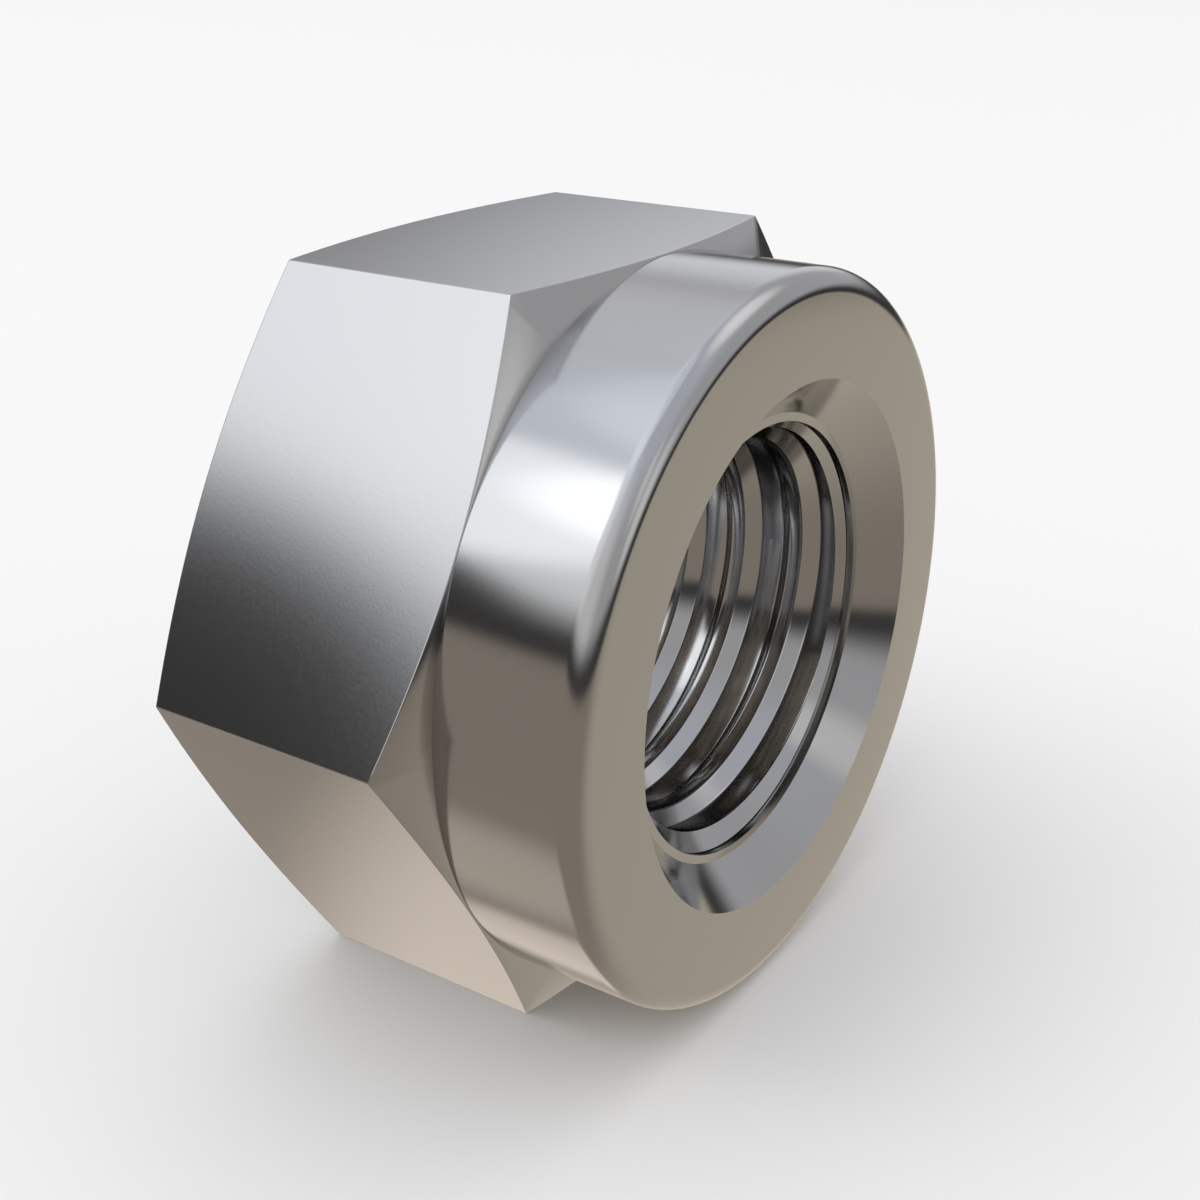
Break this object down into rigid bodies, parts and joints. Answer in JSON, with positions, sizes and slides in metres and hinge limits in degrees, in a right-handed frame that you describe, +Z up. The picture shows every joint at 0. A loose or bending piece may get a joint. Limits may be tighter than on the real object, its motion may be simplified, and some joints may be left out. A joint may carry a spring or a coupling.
{
  "type": "hex lock nut",
  "caption": "Hexagon lock nut with a threaded bore and a round collar that holds a metal ring gripping the bolt's thread.",
  "frame": {"origin": "on the thread's axis, in the plane of the bearing face", "axes": "+X along the thread's axis from the bearing face to the collar, +Z up with the nut lying on one of its flats"},
  "size_m": [0.008, 0.015, 0.013],
  "materials": {
    "nut_steel": "satin flats and faces, polished collar, mouth and thread",
    "ring_steel": "satin"
  },
  "bodies": {
    "root": {"nut_body": "nut_steel", "locking_ring": "ring_steel"}
  },
  "joints": []
}
